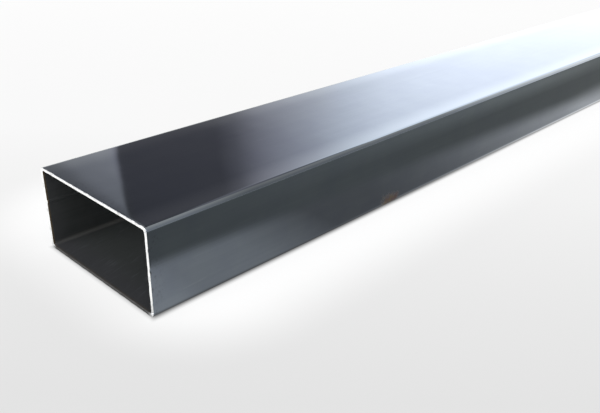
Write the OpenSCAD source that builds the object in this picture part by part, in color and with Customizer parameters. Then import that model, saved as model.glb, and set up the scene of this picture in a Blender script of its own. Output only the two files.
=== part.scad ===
// Rectangular steel box section: one cut length of cold-formed, seam-welded stock.
// It lies flat on its wide side. X runs along the length, Y across the width and Z up,
// and the origin is at the middle of the underside. Sizes are in millimetres.

/* [Section] */
// Width over the outside of the two side walls
section_w = 100; // [60:1:200]
// Height over the outside of the top and bottom walls
section_h = 50; // [25:1:120]
// Thickness of the wall, the same all round
wall = 2; // [1.2:0.1:4]
// Inside radius of the four formed corners
bend_r = 1; // [0.5:0.1:4]

/* [Length] */
// Cut length of the stock
stock_l = 1000; // [300:10:6000]
// Depth of the 45 degree edge left where the sawn ends were brushed clean of burr
edge_break = 0.25; // [0.1:0.05:0.5]

/* [Weld seam] */
// Height of the seam above the middle of the +Y side wall
seam_z = 4; // [-5:0.5:5]
// Width of the weld bead left along the inside
bead_w = 2.4; // [1:0.1:5]
// Height of that bead above the inner face of the wall
bead_h = 0.5; // [0.2:0.05:0.8]

/* [Hidden] */
$fn = 96;
// How far a cutting shape runs past the face that it opens
past = 1;
// The bend keeps the wall's thickness, so its outside radius is larger by one wall
corner_r = bend_r + wall;
hollow_w = section_w - 2 * wall;
hollow_h = section_h - 2 * wall;
// Radius of the round back of the bead, from its width and height
bead_r = (bead_w * bead_w / 4 + bead_h * bead_h) / (2 * bead_h);

// A rectangle w by h with round corners of radius r, centred on the section's middle
module rounded_outline(w, h, r) {
    square([w - 2 * r, h], center = true);
    square([w, h - 2 * r], center = true);
    for (side = [-1, 1], level = [-1, 1])
        translate([side * (w / 2 - r), level * (h / 2 - r)]) circle(r);
}

// The hollow, with the weld bead standing out from its +Y side
module hollow_outline() {
    difference() {
        rounded_outline(hollow_w, hollow_h, bend_r);
        translate([hollow_w / 2 - bead_h + bead_r, seam_z]) circle(bead_r);
    }
}

// A slab on the same corner centres as the outline w by h. Its corner radius goes
// from r0 to r1 over the thickness t, so its flanks slope by the same amount all round.
module sloped_slab(w, h, r, r0, r1, t) {
    centre_w = w - 2 * r;
    centre_h = h - 2 * r;
    for (side = [-1, 1], level = [-1, 1])
        translate([side * centre_w / 2, level * centre_h / 2]) cylinder(h = t, r1 = r0, r2 = r1);
    rotate([90, 0, 0]) linear_extrude(centre_h, center = true)
        polygon([[-centre_w / 2 - r0, 0], [centre_w / 2 + r0, 0],
                 [centre_w / 2 + r1, t], [-centre_w / 2 - r1, t]]);
    rotate([90, 0, 90]) linear_extrude(centre_w, center = true)
        polygon([[-centre_h / 2 - r0, 0], [centre_h / 2 + r0, 0],
                 [centre_h / 2 + r1, t], [-centre_h / 2 - r1, t]]);
}

// What cleaning takes off one end: the outer corner of the saw cut and the inner one.
// The cut face lies at z = 0 and the stock below it.
module end_clean() {
    translate([0, 0, -edge_break]) {
        difference() {
            translate([0, 0, (edge_break + past) / 2])
                cube([section_w + 2 * past, section_h + 2 * past, edge_break + past], center = true);
            sloped_slab(section_w, section_h, corner_r, corner_r, corner_r - edge_break, edge_break);
        }
        sloped_slab(hollow_w, hollow_h, bend_r, bend_r, bend_r + edge_break, edge_break);
    }
}

// One length of the section: the formed and welded wall, sawn square at both ends
module box_section() {
    color([0.30, 0.32, 0.36])
    translate([0, 0, section_h / 2]) rotate([90, 0, 90])
    difference() {
        linear_extrude(stock_l, center = true) rounded_outline(section_w, section_h, corner_r);
        linear_extrude(stock_l + 2 * past, center = true) hollow_outline();
        for (end = [0, 1]) mirror([0, 0, end]) translate([0, 0, stock_l / 2]) end_clean();
    }
}

box_section();
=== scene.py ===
"""Looks for a length of rectangular steel box section: oiled mill finish, bright sawn ends."""
import math
import random

import bmesh
import bpy
from mathutils import Matrix, Vector


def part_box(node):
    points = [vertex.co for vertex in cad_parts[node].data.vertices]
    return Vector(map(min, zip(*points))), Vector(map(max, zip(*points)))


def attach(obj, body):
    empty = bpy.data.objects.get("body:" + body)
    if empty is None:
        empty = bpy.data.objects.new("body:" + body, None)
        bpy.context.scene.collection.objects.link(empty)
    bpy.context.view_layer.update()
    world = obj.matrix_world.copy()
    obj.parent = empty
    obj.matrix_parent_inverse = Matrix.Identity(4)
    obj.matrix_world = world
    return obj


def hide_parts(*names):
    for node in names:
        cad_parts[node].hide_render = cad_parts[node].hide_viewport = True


MM = 0.001

# The section's own sizes, beside those that the frame's box gives
WALL = 2.0 * MM
CORNER_R = 3.0 * MM
EDGE_BREAK = 0.25 * MM
SEAM_Z = 4.0 * MM
BEAD_W = 2.4 * MM
BEAD_H = 0.5 * MM

# How finely the mesh follows the bends, the rims and the bead, and how near a point counts as on
# a line or a face
CORNER_STEPS = 12
RIM_PITCH = 1.0 * MM
RIM_DEPTH = 1.2 * MM
NEAR = 0.05 * MM
# Heights in millimetres from the seam: the cuts that the bead adds to the 1 mm ones of the wall,
# and all the lines that are drawn in to round it
BEAD_CUTS = (-1.2, -0.75, -0.5, -0.25, 0.25, 0.5, 0.75, 1.2)
BEAD_OFFSETS = (-1.0, *BEAD_CUTS[1:4], 0.0, *BEAD_CUTS[4:7], 1.0)

# How the cut edges are frayed: an uneven edge break all along, and now and then a deeper nick
BURR_SIZE = 3.0 * MM
BURR_DEPTH = 0.30 * MM
NICK_SHARE = 0.025
NICK_DEPTH = 0.35 * MM

# The weld line outside: half the width of the scraped strip, and how far its heat tint reaches
SCRAPED_HALF = 2.2 * MM
TINT_REACH = 9 * MM

# The brown spot low on the near side: how far from the near end, how high, and its two radii
RUST_FROM_END = 186 * MM
RUST_Z = 3.5 * MM
RUST_CORE = 1.5 * MM
RUST_EDGE = 6.5 * MM

# The floor: how wide it is, and how far below the section it lies, so that they share no face
FLOOR_W = 20.0
FLOOR_DROP = 0.1 * MM
# Round the section: how far its contact shadow reaches under the bends and outside the walls, and
# where the pale pool of light ends
SHADE_IN = 4.0 * MM
SHADE_OUT = 2.6 * MM
POOL_SHIFT = 20 * MM
POOL_INSET = 49 * MM
POOL_REACH = 88 * MM
# The white sheet that the sides mirror: its width and its soft edge, halfway along and at the ends
SHEET_HALFWAY = 17 * MM
SHEET_AT_END = 44.5 * MM
SOFT_HALFWAY = 13 * MM
SOFT_AT_END = 6.5 * MM

# The photograph's camera: its place from the lower edge of the near end, and its angles in degrees
CAMERA_FROM_END = Vector((-154.9, -296.7, 200.9)) * MM
CAMERA_TURN = -46.05
CAMERA_TILT = 63.94
CAMERA_ROLL = 1.1
CAMERA_LENS = 42.2
# The way over the floor from the photograph's front to its back
FRONT_TO_BACK = (0.72, 0.69, 0.0)


def linear(hex_colour):
    """An sRGB hex colour as linear red, green, blue and alpha."""
    channels = [int(hex_colour[i:i + 2], 16) / 255 for i in (1, 3, 5)]
    return [c / 12.92 if c <= 0.04045 else ((c + 0.055) / 1.055) ** 2.4 for c in channels] + [1.0]


def node(tree, kind, inputs=None, stops=(), **settings):
    """Adds a node with its settings. An input is a value, a socket, or a node, whose first live
    output is linked. Stops are the places and grey levels of a colour ramp."""
    made = tree.nodes.new("ShaderNode" + kind)
    for name, value in settings.items():
        setattr(made, name, value)
    for name, value in (inputs or {}).items():
        if isinstance(value, bpy.types.Node):
            value = next(s for s in value.outputs if s.enabled)
        if isinstance(value, bpy.types.NodeSocket):
            tree.links.new(value, made.inputs[name])
        else:
            made.inputs[name].default_value = value
    for place, _ in stops[2:]:
        made.color_ramp.elements.new(place)
    for (place, level), point in zip(stops, made.color_ramp.elements if stops else ()):
        point.position = place
        point.color = (level, level, level, 1.0)
    return made


def new_material(name):
    """A material with an empty node tree, and the place of each point on the piece in metres."""
    made = bpy.data.materials.new(name)
    made.use_nodes = True
    made.node_tree.nodes.clear()
    return made, made.node_tree, node(made.node_tree, "TexCoord").outputs["Object"]


def from_middle(tree, place):
    """How far a point is from the section's middle, along it and across it, and its height."""
    apart = node(tree, "SeparateXYZ", {0: place})
    along = node(tree, "Math", {0: apart.outputs["X"]}, operation="ABSOLUTE")
    across = node(tree, "Math", {0: apart.outputs["Y"]}, operation="ABSOLUTE")
    return along, across, apart.outputs["Z"]


def drawn_lines(tree, place, across, seed, along=0.12, detail=2.0):
    """Lines that the rolls leave along the strip, from 0 to 1. Their spacing across it and their
    length along it are in metres."""
    stretched = node(tree, "Mapping", {0: place, "Scale": (1 / along, 1 / across, 1 / across)})
    return node(tree, "TexNoise", {"Vector": stretched, "W": seed, "Scale": 1.0, "Detail": detail},
                noise_dimensions="4D")


def oil_strip(tree, place, uneven):
    """The strip's own grey under its oil, with handling scratches."""
    tone = node(tree, "MapRange", {"Value": uneven, "From Min": 0.3, "From Max": 0.7})
    streaked = node(tree, "Mix", {"Factor": tone, "A": linear("#616971"), "B": linear("#6F767E")},
                    data_type="RGBA")
    # The oil film is bluer in soft patches
    filmy = node(tree, "TexNoise", {"Vector": place, "W": 9.0, "Scale": 1 / (16 * MM),
                                    "Detail": 3.0}, noise_dimensions="4D")
    film = node(tree, "MapRange", {"Value": filmy, "From Min": 0.42, "From Max": 0.66,
                                   "To Max": 0.6})
    oiled = node(tree, "Mix", {"Factor": film, "A": streaked, "B": linear("#636A75")},
                 data_type="RGBA")
    # Handling scratches, each some tens of millimetres long and at a slight slant
    slanted = node(tree, "Mapping", {0: place, "Rotation": (0.0, 0.07, 0.09)})
    scored = drawn_lines(tree, slanted, 1.4 * MM, 4.0, along=0.05, detail=0.0)
    scratch = node(tree, "MapRange", {"Value": scored, "From Min": 0.78, "From Max": 0.88,
                                      "To Max": 0.3})
    return node(tree, "Mix", {"Factor": scratch, "A": oiled, "B": linear("#7D8389")},
                data_type="RGBA")


def polish_shoulders(tree, place, under):
    """The wide faces are paler and greyer along the bends, where the rolls polished them."""
    _, across, up = from_middle(tree, place)
    by_bend = node(tree, "MapRange", {"Value": across, "From Min": high.y - 20 * MM,
                                      "From Max": high.y - CORNER_R, "To Max": 0.75},
                   interpolation_type="SMOOTHSTEP")
    level = node(tree, "Math", {0: up, 1: height / 2}, operation="SUBTRACT")
    off_middle = node(tree, "Math", {0: level}, operation="ABSOLUTE")
    wide = node(tree, "MapRange", {"Value": off_middle, "From Min": height / 2 - CORNER_R / 2,
                                   "From Max": height / 2 - CORNER_R / 10})
    rolled = node(tree, "Math", {0: by_bend, 1: wide}, operation="MULTIPLY")
    return node(tree, "Mix", {"Factor": rolled, "A": under, "B": linear("#8E9497")},
                data_type="RGBA")


def scrape_seam(tree, place, under):
    """The weld line on the +Y side, scraped flush: a pale strip between bands of blue heat tint.
    Also gives where the bare strip is."""
    apart = node(tree, "SeparateXYZ", {0: place})
    from_seam = node(tree, "Math", {0: apart.outputs["Z"], 1: height / 2 + SEAM_Z},
                     operation="SUBTRACT")
    off_seam = node(tree, "Math", {0: from_seam}, operation="ABSOLUTE")
    welded = node(tree, "Math", {0: apart.outputs["Y"], 1: high.y - WALL / 2},
                  operation="GREATER_THAN")
    heated = node(tree, "MapRange", {"Value": off_seam, "From Min": TINT_REACH,
                                     "From Max": TINT_REACH / 3})
    tinted = node(tree, "Math", {0: heated, 1: welded}, operation="MULTIPLY")
    blued = node(tree, "Mix", {"Factor": tinted, "A": under, "B": linear("#4E5470")},
                 data_type="RGBA")
    scraped = node(tree, "MapRange", {"Value": off_seam, "From Min": SCRAPED_HALF + 0.4 * MM,
                                      "From Max": SCRAPED_HALF})
    bare = node(tree, "Math", {0: scraped, 1: welded}, operation="MULTIPLY")
    seamed = node(tree, "Mix", {"Factor": bare, "A": blued, "B": linear("#9A9C9E")},
                  data_type="RGBA")
    return seamed, bare


def speck_ends(tree, place, under):
    """Specks of saw grime that stuck to the oil near the ends."""
    along, _, _ = from_middle(tree, place)
    speckled = node(tree, "TexNoise", {"Vector": place, "W": 7.0, "Scale": 1 / (1.3 * MM)},
                    noise_dimensions="4D")
    speck = node(tree, "MapRange", {"Value": speckled, "From Min": 0.56, "From Max": 0.66})
    by_cut = node(tree, "MapRange", {"Value": along, "From Min": high.x - 9 * MM,
                                     "From Max": high.x, "To Max": 0.55})
    grime = node(tree, "Math", {0: speck, 1: by_cut}, operation="MULTIPLY")
    return node(tree, "Mix", {"Factor": grime, "A": under, "B": linear("#3A3D42")},
                data_type="RGBA")


def rust_side(tree, place, under):
    """A small bloom of rust through the oil, yellow-brown with redder flecks and twice as long as
    it is high. Also gives where the rust is."""
    centre = (low.x + RUST_FROM_END, low.y, low.z + RUST_Z)
    around = node(tree, "VectorMath", {0: place, 1: centre}, operation="SUBTRACT")
    shaped = node(tree, "VectorMath", {0: around, 1: (0.5, 1.0, 1.0)}, operation="MULTIPLY")
    reach = node(tree, "VectorMath", {0: shaped}, operation="LENGTH")
    ragged = node(tree, "TexNoise", {"Vector": place, "W": 5.0, "Scale": 1 / (5 * MM),
                                     "Detail": 4.0}, noise_dimensions="4D")
    frayed = node(tree, "MapRange", {"Value": ragged, "From Min": 0.3, "From Max": 0.7,
                                     "To Min": -2.0 * MM, "To Max": 2.0 * MM})
    edge = node(tree, "Math", {0: reach.outputs["Value"], 1: frayed}, operation="ADD")
    rust = node(tree, "MapRange", {"Value": edge, "From Min": RUST_EDGE, "From Max": RUST_CORE,
                                   "To Max": 0.85}, interpolation_type="SMOOTHSTEP")
    flecked = node(tree, "TexNoise", {"Vector": place, "W": 8.0, "Scale": 1 / (3 * MM),
                                      "Detail": 3.0}, noise_dimensions="4D")
    fleck = node(tree, "MapRange", {"Value": flecked, "From Min": 0.4, "From Max": 0.6})
    browns = node(tree, "Mix", {"Factor": fleck, "A": linear("#54421C"), "B": linear("#42241A")},
                  data_type="RGBA")
    rusted = node(tree, "Mix", {"Factor": rust, "A": under, "B": browns}, data_type="RGBA")
    return rusted, rust


def mill_steel():
    """Cold-rolled steel as it leaves the forming mill, under a thin film of oil: dark blue-grey
    and satin, with faint lines along it. At a low angle it mirrors a light backdrop near white."""
    made, tree, place = new_material("oiled_mill_steel")
    # Roll lines are about 0.1 mm apart on the real strip, and are drawn ten times as coarse to show
    fine = drawn_lines(tree, place, 1.0 * MM, 1.0)
    broad = drawn_lines(tree, place, 6.0 * MM, 2.0, along=0.5)
    patchy = node(tree, "TexNoise", {"Vector": place, "W": 3.0, "Scale": 1 / (45 * MM)},
                  noise_dimensions="4D")
    streaky = node(tree, "Mix", {"Factor": 0.5, "A": fine, "B": broad}, data_type="FLOAT")
    uneven = node(tree, "Mix", {"Factor": 0.45, "A": streaky, "B": patchy}, data_type="FLOAT")

    oiled = oil_strip(tree, place, uneven)
    shouldered = polish_shoulders(tree, place, oiled)
    seamed, bare = scrape_seam(tree, place, shouldered)
    grimy = speck_ends(tree, place, seamed)
    rusted, rust = rust_side(tree, place, grimy)

    metal = node(tree, "Math", {0: 1.0, 1: rust}, operation="SUBTRACT")
    gloss = node(tree, "MapRange", {"Value": uneven, "From Min": 0.3, "From Max": 0.7,
                                    "To Min": 0.035, "To Max": 0.055})
    dulled = node(tree, "Math", {0: rust, 1: bare}, operation="MAXIMUM")
    rough = node(tree, "Mix", {"Factor": dulled, "A": gloss, "B": 0.55}, data_type="FLOAT")
    swell = node(tree, "TexNoise", {"Vector": place, "W": 6.0, "Scale": 1 / (35 * MM),
                                    "Detail": 1.0}, noise_dimensions="4D")
    wavy = node(tree, "Bump", {"Strength": 1.0, "Distance": 0.12 * MM, "Height": swell})
    lined = node(tree, "Bump", {"Strength": 1.0, "Distance": 0.007 * MM, "Height": fine,
                                "Normal": wavy})
    steel = node(tree, "BsdfPrincipled", {
        "Base Color": rusted,
        "Metallic": metal,
        "Roughness": rough,
        "Normal": lined,
        "Coat Weight": 0.3,
        "Coat Roughness": 0.05,
    })
    node(tree, "OutputMaterial", {"Surface": steel})
    return made


def light_and_scuff_floor(tree, place, under):
    """The inner floor is painted a little paler than the walls, as painted light where it faces up,
    and bluer near the mouths. What was pushed through has left patches of scuffs, each about 10 mm
    long and 18 degrees off the length. Also gives where the floor is."""
    along, _, up = from_middle(tree, place)
    on_floor = node(tree, "Math", {0: up, 1: WALL * 1.3}, operation="LESS_THAN")
    near_mouth = node(tree, "MapRange", {"Value": along, "From Min": high.x - 22 * MM,
                                         "From Max": high.x - 6 * MM})
    # Painted light: the upward-facing inner floor is mixed paler than the walls
    hue = node(tree, "Mix", {"Factor": near_mouth, "A": linear("#565A59"), "B": linear("#58595E")},
               data_type="RGBA")
    half = node(tree, "Math", {0: on_floor, 1: 0.45}, operation="MULTIPLY")
    bottom = node(tree, "Mix", {"Factor": half, "A": under, "B": hue}, data_type="RGBA")

    slanted = node(tree, "Mapping", {0: place, "Rotation": (0.0, 0.0, -0.32)})
    scored = drawn_lines(tree, slanted, 1.1 * MM, 13.0, along=0.012, detail=1.0)
    scuff = node(tree, "MapRange", {"Value": scored, "From Min": 0.56, "From Max": 0.74,
                                    "To Max": 0.42})
    rubbed = node(tree, "TexNoise", {"Vector": place, "W": 14.0, "Scale": 1 / (26 * MM)},
                  noise_dimensions="4D")
    patch = node(tree, "MapRange", {"Value": rubbed, "From Min": 0.42, "From Max": 0.6})
    patched = node(tree, "Math", {0: scuff, 1: patch}, operation="MULTIPLY")
    scuffs = node(tree, "Math", {0: patched, 1: on_floor}, operation="MULTIPLY")
    scuffed = node(tree, "Mix", {"Factor": scuffs, "A": bottom, "B": linear("#80808A")},
                   data_type="RGBA")
    return scuffed, on_floor


def paint_corner_highlight(tree, place, under):
    """Painted highlight: paler along the two lower inner corners, by the distance from them."""
    _, across, up = from_middle(tree, place)
    to_wall = node(tree, "Math", {0: high.y - WALL, 1: across}, operation="SUBTRACT")
    to_floor = node(tree, "Math", {0: up, 1: WALL}, operation="SUBTRACT")
    to_corner = node(tree, "Math", {0: to_wall, 1: to_floor}, operation="ADD")
    # Painted highlight: a pale line where the inner bends would catch the light
    corner_highlight = node(tree, "MapRange", {"Value": to_corner, "From Min": 2.5 * MM, "From Max": 0.8 * MM,
                                   "To Max": 0.45}, interpolation_type="SMOOTHSTEP")
    return node(tree, "Mix", {"Factor": corner_highlight, "A": under, "B": linear("#82807E")},
                data_type="RGBA")


def shade_and_rust_mouths(tree, place, on_floor, under):
    """Painted light and shade: the skin is painted paler further in and darker at the mouths, to even
    out how the light falls off inside. A thin brown line of rust runs round each mouth, fainter along
    the bottom."""
    along, _, _ = from_middle(tree, place)
    # Painted light makes it paler further in, and painted shade makes it darker at the mouths
    further_in = node(tree, "MapRange", {"Value": along, "From Min": high.x - 14 * MM,
                                         "From Max": high.x - 62 * MM, "To Min": 1.0,
                                         "To Max": 2.3}, interpolation_type="SMOOTHSTEP")
    paler = node(tree, "VectorMath", {0: under, "Scale": further_in}, operation="SCALE")
    mouth = node(tree, "MapRange", {"Value": along, "From Min": high.x - 14 * MM,
                                    "From Max": high.x, "To Max": 0.5})
    shaded_mouths = node(tree, "Mix", {"Factor": mouth, "A": paler, "B": linear("#46464A")},
                 data_type="RGBA")
    lip = node(tree, "MapRange", {"Value": along, "From Min": high.x - 1.6 * MM,
                                  "From Max": high.x - 0.7 * MM, "To Max": 0.8})
    faint = node(tree, "Math", {0: on_floor, 1: -0.7, 2: 1.0}, operation="MULTIPLY_ADD")
    line = node(tree, "Math", {0: lip, 1: faint}, operation="MULTIPLY")
    return node(tree, "Mix", {"Factor": line, "A": shaded_mouths, "B": linear("#6C5C40")},
                data_type="RGBA")


def inner_steel():
    """The inside of the strip: dry and dull, with a dark oxide skin, faint lines and slanting
    scuffs, a painted highlight along the lower corners and a thin brown line of rust round each
    mouth."""
    made, tree, place = new_material("dark_inner_steel")
    lines = drawn_lines(tree, place, 1.2 * MM, 11.0, along=0.2)
    patchy = node(tree, "TexNoise", {"Vector": place, "W": 12.0, "Scale": 1 / (12 * MM)},
                  noise_dimensions="4D")
    uneven = node(tree, "Mix", {"Factor": 0.4, "A": lines, "B": patchy}, data_type="FLOAT")
    tone = node(tree, "MapRange", {"Value": uneven, "From Min": 0.25, "From Max": 0.75})
    skin = node(tree, "Mix", {"Factor": tone, "A": linear("#434646"), "B": linear("#515454")},
                data_type="RGBA")

    scuffed, on_floor = light_and_scuff_floor(tree, place, skin)
    highlighted_corners = paint_corner_highlight(tree, place, scuffed)
    shaded_and_rusted = shade_and_rust_mouths(tree, place, on_floor, highlighted_corners)

    lined = node(tree, "Bump", {"Strength": 1.0, "Distance": 0.012 * MM, "Height": lines})
    steel = node(tree, "BsdfPrincipled", {
        "Base Color": shaded_and_rusted,
        "Metallic": 0.45,
        "Roughness": 0.42,
        "Normal": lined,
    })
    node(tree, "OutputMaterial", {"Surface": steel})
    return made


def sawn_steel():
    """Fresh steel on the cut face of the wall: bright, scored straight across by the saw, with
    painted shade along its lower edge."""
    made, tree, place = new_material("sawn_bright_steel")
    # Tooth marks run across the width, about 0.3 mm apart
    slanted = node(tree, "Mapping", {0: place, "Rotation": (0.12, 0.0, 0.0),
                                     "Scale": (1 / (20 * MM), 1 / (20 * MM), 1 / (0.3 * MM))})
    marks = node(tree, "TexNoise", {"Vector": slanted, "Scale": 1.0, "Detail": 2.0})
    tone = node(tree, "MapRange", {"Value": marks, "From Min": 0.3, "From Max": 0.7})
    bright = node(tree, "Mix", {"Factor": tone, "A": linear("#DEDFDE"), "B": linear("#F4F4F2")},
                  data_type="RGBA")
    # Grey smears where oil and chips stuck, some millimetres long
    smears = node(tree, "TexNoise", {"Vector": place, "W": 15.0, "Scale": 1 / (5 * MM),
                                     "Detail": 3.0}, noise_dimensions="4D")
    smeared = node(tree, "MapRange", {"Value": smears, "From Min": 0.52, "From Max": 0.68,
                                      "To Max": 0.6})
    used = node(tree, "Mix", {"Factor": smeared, "A": bright, "B": linear("#9C9C9A")},
                data_type="RGBA")
    # Painted shade darkens the lower edge of the cut between the corners, where it sits by the floor
    _, across, up = from_middle(tree, place)
    lower = node(tree, "MapRange", {"Value": up, "From Min": 2 * WALL, "From Max": 1.2 * WALL,
                                    "To Max": 0.9})
    between = node(tree, "MapRange", {"Value": across, "From Min": high.y - WALL,
                                      "From Max": high.y - 2.5 * WALL})
    painted_low_shade = node(tree, "Math", {0: lower, 1: between}, operation="MULTIPLY")
    shaded_cut = node(tree, "Mix", {"Factor": painted_low_shade, "A": used, "B": linear("#3C3A37")},
                 data_type="RGBA")
    scored = node(tree, "Bump", {"Strength": 1.0, "Distance": 0.02 * MM, "Height": marks})
    steel = node(tree, "BsdfPrincipled", {
        "Base Color": shaded_cut,
        "Metallic": 1.0,
        "Roughness": 0.42,
        "Normal": scored,
    })
    node(tree, "OutputMaterial", {"Surface": steel})
    return made


def select(piece, kind, chosen):
    """In edit mode, leaves only those vertices, edges or faces selected that a test passes."""
    bpy.ops.mesh.select_mode(type=kind)
    bpy.ops.mesh.select_all(action="DESELECT")
    bm = bmesh.from_edit_mesh(piece.data)
    for item in {"VERT": bm.verts, "EDGE": bm.edges, "FACE": bm.faces}[kind]:
        if chosen(item):
            item.select_set(True)
    bmesh.update_edit_mesh(piece.data)


def runs_along(edge, axis):
    """Whether an edge runs along one axis."""
    run = (edge.verts[1].co - edge.verts[0].co).normalized()
    return abs(run[axis]) > 0.999


def on_rim(edge):
    """Whether an edge goes round one of the two cut faces, on the outside or the inside."""
    in_cut = all(high.x - abs(v.co.x) < NEAR for v in edge.verts)
    beside = (f.calc_center_median().x for f in edge.link_faces)
    return in_cut and not runs_along(edge, 0) and min(abs(x) for x in beside) < high.x / 2


def at_cut(vert):
    """Whether a vertex is on a cut face or on its broken edges."""
    return high.x - abs(vert.co.x) < 1.5 * EDGE_BREAK


def build_section():
    """The section as one closed mesh: a block with bent corners, inset at its ends by the wall and
    bridged through. Its end edges are broken, and its weld bead stands out from the +Y wall."""
    bpy.ops.mesh.primitive_cube_add(size=1, location=(low + high) / 2, scale=high - low)
    piece = bpy.context.object
    piece.name = "box_section_steel"
    bpy.ops.object.transform_apply(location=True, rotation=True, scale=True)
    bpy.ops.object.mode_set(mode="EDIT")

    select(piece, "EDGE", lambda e: runs_along(e, 0))
    bpy.ops.mesh.bevel(offset=CORNER_R, offset_type="OFFSET", segments=CORNER_STEPS, affect="EDGES")
    select(piece, "FACE", lambda f: abs(f.normal.x) > 0.9)
    bpy.ops.mesh.inset(thickness=WALL, use_even_offset=True, use_individual=True)
    bpy.ops.mesh.bridge_edge_loops()
    select(piece, "EDGE", on_rim)
    bpy.ops.mesh.bevel(offset=EDGE_BREAK, offset_type="OFFSET", segments=1, affect="EDGES")

    # The flats are cut into short lengths, so that the rims can fray and the bead can rise
    for axis, flat in ((1, width - 2 * CORNER_R), (2, height - 2 * CORNER_R)):
        select(piece, "EDGE", lambda e: runs_along(e, axis) and e.calc_length() > flat / 2)
        bpy.ops.mesh.subdivide(number_cuts=round(flat / RIM_PITCH) - 1)
    for end in (-1, 1):
        bpy.ops.mesh.select_all(action="SELECT")
        bpy.ops.mesh.bisect(plane_co=(end * (high.x - RIM_DEPTH), 0, 0), plane_no=(1, 0, 0))
    raise_bead(piece)
    bpy.ops.object.mode_set(mode="OBJECT")
    return piece


def raise_bead(piece):
    """Cuts the +Y wall along the weld seam, and draws its inner face in there to a low round bead."""
    seam = height / 2 + SEAM_Z
    for cut in BEAD_CUTS:
        select(piece, "FACE", lambda f: f.calc_center_median().y > high.y - WALL - EDGE_BREAK
               and abs(f.calc_center_median().z - height / 2) < height / 2 - CORNER_R)
        bpy.ops.mesh.bisect(plane_co=(0, 0, seam + cut * MM), plane_no=(0, 0, 1))
    round_r = (BEAD_W ** 2 / 4 + BEAD_H ** 2) / (2 * BEAD_H)
    for off in BEAD_OFFSETS:
        lift = BEAD_H - round_r + math.sqrt(round_r ** 2 - (off * MM) ** 2)
        select(piece, "VERT", lambda v: abs(v.co.z - seam - off * MM) < NEAR
               and abs(v.co.y - high.y + WALL) < 2 * EDGE_BREAK)
        bpy.ops.transform.translate(value=(0, -lift, 0))


def finish_section(piece):
    """Gives each wall face its finish, by whether it is outside, inside or on a cut."""
    for finish in (mill_steel(), inner_steel(), sawn_steel()):
        piece.data.materials.append(finish)
    for face in piece.data.polygons:
        y, z = abs(face.center.y), abs(face.center.z - height / 2)
        inside = y < width / 2 - WALL + NEAR and z < height / 2 - WALL + NEAR
        sawn = high.x - abs(face.center.x) < 2 * EDGE_BREAK
        face.material_index = 2 if sawn else 1 if inside else 0


def fray_rims(piece):
    """Makes the broken edges of both cuts slightly uneven, as a saw and a brush leave them."""
    bpy.ops.object.mode_set(mode="EDIT")
    select(piece, "VERT", at_cut)
    bpy.ops.object.vertex_group_add()
    bpy.ops.object.vertex_group_assign()
    random.seed(7)
    select(piece, "VERT", lambda v: at_cut(v) and random.random() < NICK_SHARE)
    bpy.ops.transform.shrink_fatten(value=-NICK_DEPTH)
    bpy.ops.object.mode_set(mode="OBJECT")

    grain = bpy.data.textures.new("burr", type="CLOUDS")
    grain.noise_scale = BURR_SIZE
    uneven = piece.modifiers.new("burr", "DISPLACE")
    uneven.texture = grain
    uneven.texture_coords = "LOCAL"
    uneven.vertex_group = piece.vertex_groups[0].name
    uneven.mid_level = 1.0
    uneven.strength = BURR_DEPTH
    bpy.ops.object.modifier_apply(modifier=uneven.name)
    piece.vertex_groups.clear()


def smooth_section(piece):
    """Shades the bends round and keeps the flats flat."""
    bpy.ops.object.shade_smooth_by_angle(angle=math.radians(30))
    weighted = piece.modifiers.new("flat_faces", "WEIGHTED_NORMAL")
    weighted.keep_sharp = True
    bpy.ops.object.modifier_apply(modifier=weighted.name)


def lay_sheet(tree, along, aside):
    """Painted reflection: the white sheet under the section and the darker room beyond it, as the
    sides mirror them.
    The sheet is wider and sharper beside the ends, and is dullest two thirds of the way there, where
    shade is painted into it."""
    sheet_w = node(tree, "MapRange", {"Value": along, "From Max": high.x,
                                      "To Min": SHEET_HALFWAY, "To Max": SHEET_AT_END}, clamp=False)
    fade = node(tree, "MapRange", {"Value": along, "From Max": high.x, "To Min": SOFT_HALFWAY,
                                   "To Max": SOFT_AT_END}, clamp=False)
    out = node(tree, "Math", {0: aside, 1: sheet_w}, operation="SUBTRACT")
    fades = node(tree, "Math", {0: out, 1: fade}, operation="DIVIDE")
    beyond = node(tree, "MapRange", {"Value": fades, "From Min": -1.0},
                  interpolation_type="SMOOTHSTEP")
    # Each stop is a distance from the middle in metres, and a tone
    sheet = node(tree, "ValToRGB", {0: along}, stops=[
        (0.0, 0.60), (0.06, 0.45), (0.12, 0.38), (0.17, 0.31), (0.24, 0.21), (0.31, 0.15),
        (0.36, 0.15), (0.40, 0.29), (0.42, 0.36), (0.44, 0.38), (0.465, 0.39), (0.48, 0.46),
        (0.5, 0.5)])
    # Its edge by the wall is brightest halfway along, and the room gets lighter again well beyond
    halfway = node(tree, "MapRange", {"Value": along, "From Min": 420 * MM, "From Max": 50 * MM})
    by_wall = node(tree, "MapRange", {"Value": aside, "From Min": 5 * MM, "From Max": 0.0},
                   interpolation_type="SMOOTHSTEP")
    bounced = node(tree, "Math", {0: by_wall, 1: halfway}, operation="MULTIPLY")
    lit_sheet = node(tree, "Mix", {"Factor": bounced, "A": sheet, "B": linear("#FFFFFF")},
                     data_type="RGBA")
    farther = node(tree, "MapRange", {"Value": aside, "From Min": 51 * MM, "From Max": 70 * MM})
    lighter = node(tree, "Math", {0: farther, 1: halfway}, operation="MULTIPLY")
    dim_room = node(tree, "Mix", {"Factor": lighter, "A": linear("#6A6C6A"),
                                  "B": linear("#8A8D8A")}, data_type="RGBA")
    return node(tree, "Mix", {"Factor": beyond, "A": lit_sheet, "B": dim_room}, data_type="RGBA")


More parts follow.
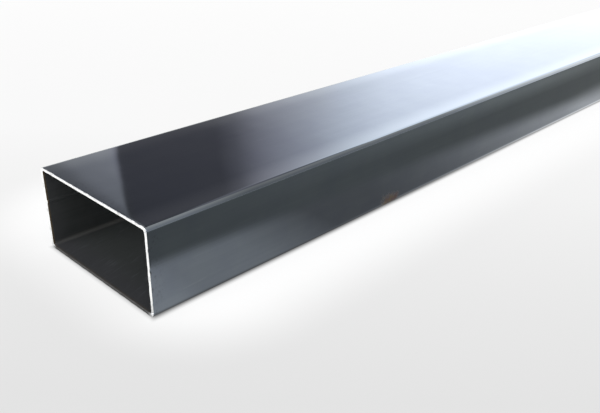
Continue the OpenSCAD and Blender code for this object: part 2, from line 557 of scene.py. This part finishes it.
def mirror_floor(tree, along, aside, past_end, nearest):
    """What the steel mirrors of the floor, as a glow for reflections alone: a painted sheet beside
    it, a pale floor before its ends, and a painted dark gap of contact shade under its bends, which
    widens towards the ends."""
    beside = lay_sheet(tree, along, aside)
    before = node(tree, "MapRange", {"Value": past_end, "From Max": 15 * MM, "To Min": 0.45,
                                     "To Max": 0.68})
    at_end = node(tree, "Math", {0: past_end, 1: 0.0}, operation="GREATER_THAN")
    all_round = node(tree, "Mix", {"Factor": at_end, "A": beside, "B": before}, data_type="RGBA")
    gap_end = node(tree, "MapRange", {"Value": along, "From Min": 100 * MM, "From Max": 430 * MM,
                                      "To Min": SHADE_OUT, "To Max": 2 * SHADE_OUT})
    open_gap = node(tree, "MapRange", {"Value": nearest, "From Min": -SHADE_IN,
                                       "From Max": gap_end}, interpolation_type="SMOOTHSTEP")
    twice = node(tree, "Math", {0: open_gap, 1: 2.0}, operation="MULTIPLY")
    return node(tree, "Emission", {"Color": all_round, "Strength": twice})


def show_floor(tree, place, along, nearest):
    """What the eye sees of the floor: its tone, painted greyer towards the front as light falling
    off, a pool of light round the section, and the narrow dark line of contact shadow where the
    section sits."""
    # Painted light falloff: the floor is painted greyer towards the front
    depth = node(tree, "VectorMath", {0: place, 1: FRONT_TO_BACK}, operation="DOT_PRODUCT")
    tone = node(tree, "ValToRGB", {0: node(tree, "MapRange", {
        "Value": depth.outputs["Value"], "From Min": -0.65, "From Max": 0.6})}, stops=[
        (0.0, 0.735), (0.16, 0.745), (0.224, 0.79), (0.32, 0.86), (0.42, 0.91), (0.84, 0.94)])
    shifted = node(tree, "VectorMath", {0: place, 1: (0.0, POOL_SHIFT, 0.0)}, operation="SUBTRACT")
    mirror_half = node(tree, "VectorMath", {0: shifted}, operation="ABSOLUTE")
    outside = node(tree, "VectorMath", {0: mirror_half, 1: (high.x - POOL_INSET, high.y, 1.0)},
                   operation="SUBTRACT")
    clipped = node(tree, "VectorMath", {0: outside, 1: (0.0, 0.0, 0.0)}, operation="MAXIMUM")
    reach = node(tree, "VectorMath", {0: clipped}, operation="LENGTH")
    pool = node(tree, "MapRange", {"Value": reach.outputs["Value"], "From Min": POOL_REACH,
                                   "From Max": POOL_REACH / 3}, interpolation_type="SMOOTHSTEP")
    # Far off it pales into the white backdrop, so no horizon shows
    far_off = node(tree, "VectorMath", {0: place}, operation="LENGTH")
    distant = node(tree, "MapRange", {"Value": far_off.outputs["Value"], "From Min": 1.2,
                                      "From Max": 3.5}, interpolation_type="SMOOTHSTEP")
    whiter = node(tree, "Math", {0: pool, 1: distant}, operation="MAXIMUM")
    pale = node(tree, "Mix", {"Factor": whiter, "A": tone, "B": linear("#FFFFFF")},
                data_type="RGBA")
    # The contact shadow runs from under the bends to just outside them, less far halfway along
    shade_end = node(tree, "MapRange", {"Value": along, "From Min": 50 * MM, "From Max": 200 * MM,
                                        "To Min": SHADE_OUT / 2, "To Max": SHADE_OUT})
    open_air = node(tree, "MapRange", {"Value": nearest, "From Min": -SHADE_IN,
                                       "From Max": shade_end}, interpolation_type="SMOOTHSTEP")
    lit = node(tree, "Mix", {"Factor": open_air, "A": linear("#3A3C3E"), "B": pale},
               data_type="RGBA")
    paper = node(tree, "BsdfDiffuse", {"Color": lit})
    glow = node(tree, "Emission", {"Color": lit, "Strength": 1.05})
    return node(tree, "MixShader", {0: 0.75, 1: paper, 2: glow})


def build_floor():
    """A plain pale floor. What the eye sees of it has a painted pool of light towards the section and
    painted light falloff that greys it towards the front, and for reflections alone it glows as a
    white sheet under the section with a darker room beyond it."""
    bpy.ops.object.select_all(action="DESELECT")
    bpy.ops.mesh.primitive_plane_add(size=FLOOR_W, location=(0, 0, low.z - FLOOR_DROP))
    floor = bpy.context.object
    floor.name = "floor"
    made, tree, place = new_material("pale_floor")
    along, across, _ = from_middle(tree, place)
    aside = node(tree, "Math", {0: across, 1: width / 2}, operation="SUBTRACT")
    past_end = node(tree, "Math", {0: along, 1: high.x}, operation="SUBTRACT")
    nearest = node(tree, "Math", {0: aside, 1: past_end, 2: SHADE_OUT}, operation="SMOOTH_MAX")

    mirrored = mirror_floor(tree, along, aside, past_end, nearest)
    seen = show_floor(tree, place, along, nearest)
    plain = node(tree, "BsdfDiffuse", {"Color": linear("#E8E8E8")})
    path = node(tree, "LightPath")
    lighting = node(tree, "MixShader", {0: path.outputs["Is Glossy Ray"], 1: plain, 2: mirrored})
    both = node(tree, "MixShader", {0: path.outputs["Is Camera Ray"], 1: lighting, 2: seen})
    node(tree, "OutputMaterial", {"Surface": both})
    floor.data.materials.append(made)


def hang_panels(tree, way, lengthwise):
    """The studio behind the section: dim over the middle and bright towards both ends."""
    # The panels lean a little, so their edges shift with the height
    leaning = node(tree, "Math", {0: way.outputs["Z"], 1: 0.16, 2: -0.062},
                   operation="MULTIPLY_ADD")
    leant = node(tree, "Math", {0: lengthwise, 1: leaning}, operation="ADD")
    panels = node(tree, "ValToRGB", {0: leant}, stops=[
        (0.0, 0.2), (0.30, 0.16), (0.38, 0.16), (0.41, 0.265), (0.464, 0.265), (0.467, 0.062),
        (0.50, 0.065), (0.58, 0.068), (0.60, 0.11), (0.625, 0.22), (0.65, 0.31), (0.68, 0.43),
        (0.72, 0.65), (0.75, 0.80), (0.78, 0.88), (0.82, 0.92), (0.90, 0.88), (0.95, 0.32)])
    # Above them the studio darkens on a slant
    aslant = node(tree, "Math", {0: way.outputs["Z"], 1: -0.8, 2: lengthwise},
                  operation="MULTIPLY_ADD")
    above = node(tree, "ValToRGB", {0: node(tree, "MapRange", {
        "Value": aslant, "From Min": -0.01, "From Max": 0.29})}, stops=[
        (0.0, 0.15), (0.333, 0.125), (0.367, 0.145), (0.40, 0.19), (0.42, 0.214), (0.433, 0.224),
        (0.483, 0.232), (0.517, 0.246), (0.56, 0.264), (0.64, 0.27), (0.75, 1.0)])
    darker = node(tree, "Mix", {"Factor": 1.0, "A": panels, "B": above}, data_type="RGBA",
                  blend_type="DARKEN")
    # They are lilac, greyer in the middle and a clearer blue towards the ends
    off_middle = node(tree, "MapRange", {"Value": lengthwise, "From Min": 0.46, "From Max": 0.47})
    lilac = node(tree, "Mix", {"Factor": off_middle, "A": linear("#F0F1F9"),
                               "B": linear("#F0EFFF")}, data_type="RGBA")
    endwards = node(tree, "MapRange", {"Value": lengthwise, "From Min": 0.62, "From Max": 0.72})
    hue = node(tree, "Mix", {"Factor": endwards, "A": lilac, "B": linear("#EBF2FF")},
               data_type="RGBA")
    cool = node(tree, "Mix", {"Factor": 1.0, "A": darker, "B": hue}, data_type="RGBA",
                blend_type="MULTIPLY")
    # Low down a pale backdrop shows under them
    low_down = node(tree, "MapRange", {"Value": way.outputs["Z"], "From Min": 0.34,
                                       "From Max": 0.22, "To Max": 0.5})
    return node(tree, "Mix", {"Factor": low_down, "A": cool, "B": linear("#BCBCBC")},
                data_type="RGBA", blend_type="LIGHTEN")


def light_world():
    """The studio as the steel mirrors it, with panels behind the section and a plainer room in
    front. Straight past the ends it is dim. The eye sees it white."""
    world = bpy.data.worlds.new("studio")
    bpy.context.scene.world = world
    world.use_nodes = True
    tree = world.node_tree
    tree.nodes.clear()
    way = node(tree, "SeparateXYZ", {0: node(tree, "TexCoord").outputs["Generated"]})
    lengthwise = node(tree, "Math", {0: way.outputs["X"]}, operation="ABSOLUTE")
    behind = hang_panels(tree, way, lengthwise)
    before = node(tree, "ValToRGB", {0: lengthwise}, stops=[
        (0.0, 0.3), (0.47, 0.34), (0.52, 0.34), (0.6, 0.2), (0.8, 0.3), (0.9, 0.9),
        (0.915, 0.92), (0.95, 0.36)])
    side = node(tree, "MapRange", {"Value": way.outputs["Y"], "From Min": -0.05, "From Max": 0.05})
    level = node(tree, "Mix", {"Factor": side, "A": before, "B": behind}, data_type="RGBA")
    tent = node(tree, "Background", {"Color": level, "Strength": 2.6})
    plain = node(tree, "Background", {"Color": linear("#FFFFFF"), "Strength": 0.4})
    white = node(tree, "Background", {"Color": linear("#FFFFFF"), "Strength": 1.0})
    path = node(tree, "LightPath")
    lit = node(tree, "MixShader", {0: path.outputs["Is Glossy Ray"], 1: plain, 2: tent})
    seen = node(tree, "MixShader", {0: path.outputs["Is Camera Ray"], 1: lit, 2: white})
    node(tree, "OutputWorld", {"Surface": seen})


def add_lamp(name, bearing, rise, strength, spread):
    """A soft distant lamp. Its bearing is from +X towards +Y, and all angles are in degrees."""
    lamp = bpy.data.lights.new(name, "SUN")
    lamp.energy = strength
    lamp.angle = math.radians(spread)
    holder = bpy.data.objects.new(name, lamp)
    bpy.context.scene.collection.objects.link(holder)
    holder.rotation_euler = (math.radians(90 - rise), 0, math.radians(bearing + 90))


def add_camera():
    """The photograph's view: from above the near end, across the near side."""
    data = bpy.data.cameras.new("photo_view")
    data.lens = CAMERA_LENS
    data.clip_start = 10 * MM
    camera = bpy.data.objects.new("photo_view", data)
    bpy.context.scene.collection.objects.link(camera)
    turns = ((CAMERA_TURN, "Z"), (CAMERA_TILT, "X"), (CAMERA_ROLL, "Z"))
    place = Matrix.Translation(Vector((low.x, 0, low.z)) + CAMERA_FROM_END)
    for angle, axis in turns:
        place = place @ Matrix.Rotation(math.radians(angle), 4, axis)
    camera.matrix_world = place
    bpy.context.scene.camera = camera


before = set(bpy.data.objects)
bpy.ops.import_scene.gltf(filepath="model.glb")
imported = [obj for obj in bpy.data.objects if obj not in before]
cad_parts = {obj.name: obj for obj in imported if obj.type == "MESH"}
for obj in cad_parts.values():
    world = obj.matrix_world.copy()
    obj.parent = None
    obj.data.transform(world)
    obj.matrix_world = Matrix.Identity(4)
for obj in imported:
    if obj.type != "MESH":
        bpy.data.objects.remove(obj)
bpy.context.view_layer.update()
low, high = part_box("box_section")
_, width, height = high - low

bpy.context.scene.view_settings.view_transform = "Standard"
add_camera()
light_world()
add_lamp("key_right", bearing=-110, rise=50, strength=1.3, spread=60)
add_lamp("key_left", bearing=170, rise=45, strength=1.3, spread=48)
build_floor()

bpy.ops.object.select_all(action="DESELECT")
section = build_section()
finish_section(section)
fray_rims(section)
smooth_section(section)
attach(section, "root")
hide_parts("box_section")
